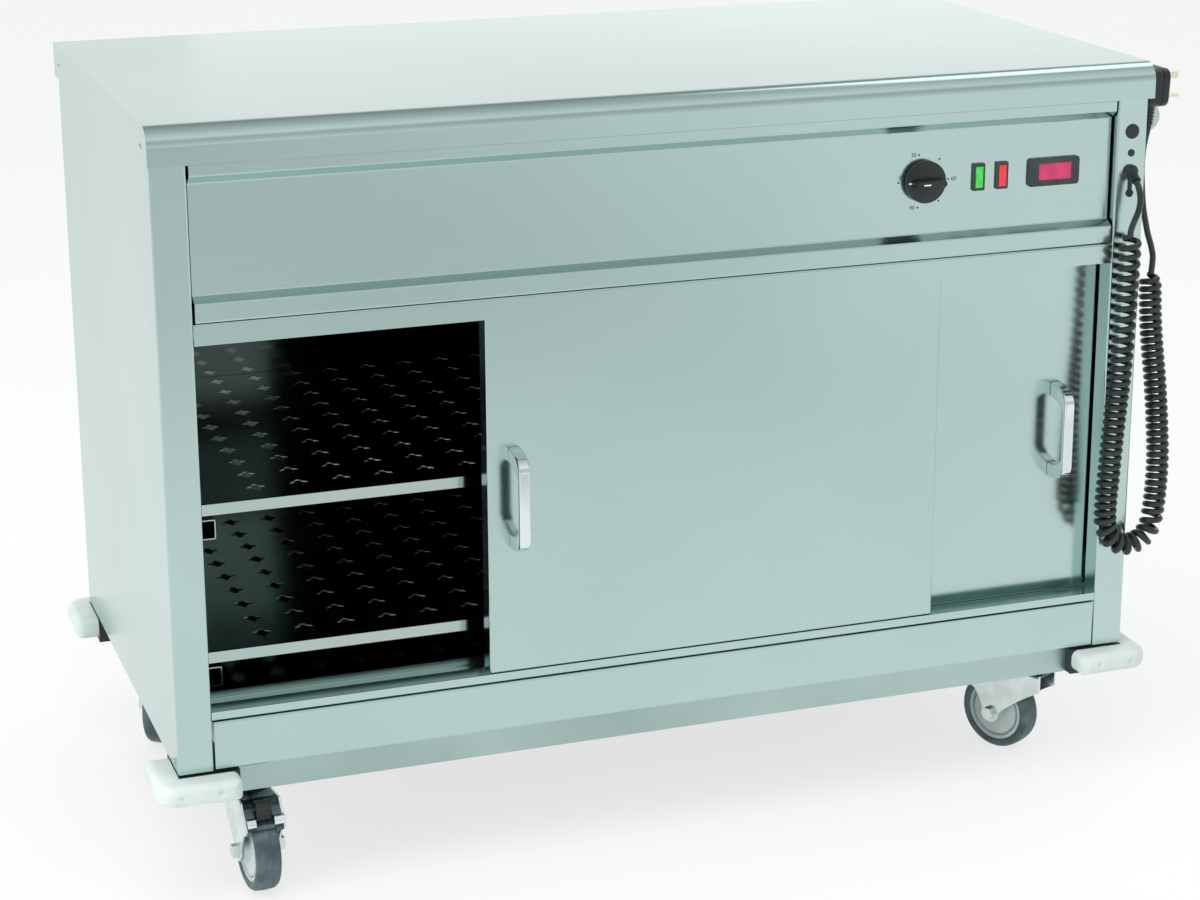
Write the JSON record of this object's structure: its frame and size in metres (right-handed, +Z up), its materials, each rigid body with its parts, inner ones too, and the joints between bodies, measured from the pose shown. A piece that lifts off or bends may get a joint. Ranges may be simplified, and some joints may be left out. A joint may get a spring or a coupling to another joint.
{
  "type": "hostess trolley",
  "caption": "Stainless heated food trolley: flat worktop over a cupboard with sliding doors and shelves, dial and display, curly mains cord, bumpers and swivel castors.",
  "frame": {"origin": "on the floor below the middle of the cabinet", "axes": "+X to the right seen from the doors, +Y from the doors to the back, +Z up"},
  "size_m": [1.2765, 0.665, 0.9],
  "materials": {
    "stainless": "satin stainless steel",
    "inner_stainless": "satin stainless steel, darkened by heat",
    "frame_steel": "welded steel tube, satin",
    "zinc": "zinc-plated steel",
    "chrome": "polished chrome",
    "black_plastic": "moulded black plastic",
    "bezel_plastic": "dark glossy plastic",
    "green_lens": "translucent green",
    "red_lens": "translucent red",
    "display": "dark red filter",
    "cord_rubber": "black cord sheath",
    "white_nylon": "moulded white nylon",
    "grey_nylon": "moulded grey plastic",
    "tyre": "grey non-marking rubber",
    "element": "sheathed heating element",
    "brass": "nickel-plated brass"
  },
  "bodies": {
    "cabinet": {"worktop": "stainless", "worktop_end_cheeks": "stainless", "left_side_panel": "stainless", "right_side_panel": "stainless", "back_panel": "stainless", "control_fascia": "stainless", "door_header_rail": "stainless", "bottom_track": "stainless", "front_lower_panel": "stainless", "inner_liner": "inner_stainless", "upper_shelf": "inner_stainless", "lower_shelf": "inner_stainless", "shelf_runners": "inner_stainless", "base_frame": "frame_steel", "worktop_stiffeners": "frame_steel", "panel_screws": "zinc", "castor_plates": "zinc", "castor_bolts": "zinc", "blanking_plugs": "black_plastic", "cord_gland": "black_plastic", "bumper_blocks": "black_plastic", "mains_plug": "black_plastic", "thermostat_body": "black_plastic", "thermometer_module": "black_plastic", "control_bezels": "bezel_plastic", "green_lens": "green_lens", "red_lens": "red_lens", "display_window": "display", "gland_lead": "cord_rubber", "curly_cord": "cord_rubber", "plug_lead": "cord_rubber", "plug_strain_relief": "cord_rubber", "corner_bumpers": "white_nylon", "plug_rest": "white_nylon", "heating_element": "element", "plug_pins": "brass"},
    "front_door": {"front_door": "stainless", "front_door_handle": "chrome"},
    "rear_door": {"rear_door": "stainless", "rear_door_handle": "chrome"},
    "knob": {"control_knob": "black_plastic", "thermostat_spindle": "zinc"},
    "front_left_swivel": {"front_left_fork": "zinc", "front_left_axle": "zinc"},
    "front_left_wheel": {"front_left_hub": "grey_nylon", "front_left_tyre": "tyre"},
    "front_left_brake": {"front_left_brake_pedal": "black_plastic"},
    "front_right_swivel": {"front_right_fork": "zinc", "front_right_axle": "zinc"},
    "front_right_wheel": {"front_right_hub": "grey_nylon", "front_right_tyre": "tyre"},
    "front_right_brake": {"front_right_brake_pedal": "black_plastic"},
    "rear_left_swivel": {"rear_left_fork": "zinc", "rear_left_axle": "zinc"},
    "rear_left_wheel": {"rear_left_hub": "grey_nylon", "rear_left_tyre": "tyre"},
    "rear_right_swivel": {"rear_right_fork": "zinc", "rear_right_axle": "zinc"},
    "rear_right_wheel": {"rear_right_hub": "grey_nylon", "rear_right_tyre": "tyre"}
  },
  "joints": [
    {"name": "front_door_slide", "type": "slide", "parent": "cabinet", "child": "front_door", "axis": [1, 0, 0], "range_m": [-0.326, 0.16]},
    {"name": "rear_door_slide", "type": "slide", "parent": "cabinet", "child": "rear_door", "axis": [1, 0, 0], "range_m": [-0.16, 0]},
    {"name": "knob_turn", "type": "hinge", "parent": "cabinet", "child": "knob", "pos_m": [0.309, -0.2884, 0.77495], "axis": [0, 1, 0], "range_deg": [0, 282]},
    {"name": "front_left_swivel", "type": "hinge", "parent": "cabinet", "child": "front_left_swivel", "pos_m": [-0.508, -0.228, 0.1175], "axis": [0, 0, 1], "continuous": true},
    {"name": "front_left_wheel_roll", "type": "hinge", "parent": "front_left_swivel", "child": "front_left_wheel", "pos_m": [-0.50521, -0.2679, 0.05], "axis": [0.9976, 0.0698, 0], "continuous": true},
    {"name": "front_left_brake_press", "type": "hinge", "parent": "front_left_swivel", "child": "front_left_brake", "pos_m": [-0.50382, -0.28785, 0.106], "axis": [0.9976, 0.0698, 0], "range_deg": [0, 6]},
    {"name": "front_right_swivel", "type": "hinge", "parent": "cabinet", "child": "front_right_swivel", "pos_m": [0.508, -0.228, 0.1175], "axis": [0, 0, 1], "continuous": true},
    {"name": "front_right_wheel_roll", "type": "hinge", "parent": "front_right_swivel", "child": "front_right_wheel", "pos_m": [0.48922, -0.19268, 0.05], "axis": [-0.8829, -0.4695, 0], "continuous": true},
    {"name": "front_right_brake_press", "type": "hinge", "parent": "front_right_swivel", "child": "front_right_brake", "pos_m": [0.47983, -0.17502, 0.106], "axis": [-0.8829, -0.4695, 0], "range_deg": [0, 6]},
    {"name": "rear_left_swivel", "type": "hinge", "parent": "cabinet", "child": "rear_left_swivel", "pos_m": [-0.508, 0.228, 0.1175], "axis": [0, 0, 1], "continuous": true},
    {"name": "rear_left_wheel_roll", "type": "hinge", "parent": "rear_left_swivel", "child": "rear_left_wheel", "pos_m": [-0.52616, 0.19236, 0.05], "axis": [0.891, -0.454, 0], "continuous": true},
    {"name": "rear_right_swivel", "type": "hinge", "parent": "cabinet", "child": "rear_right_swivel", "pos_m": [0.508, 0.228, 0.1175], "axis": [0, 0, 1], "continuous": true},
    {"name": "rear_right_wheel_roll", "type": "hinge", "parent": "rear_right_swivel", "child": "rear_right_wheel", "pos_m": [0.47336, 0.248, 0.05], "axis": [-0.5, -0.866, 0], "continuous": true}
  ]
}
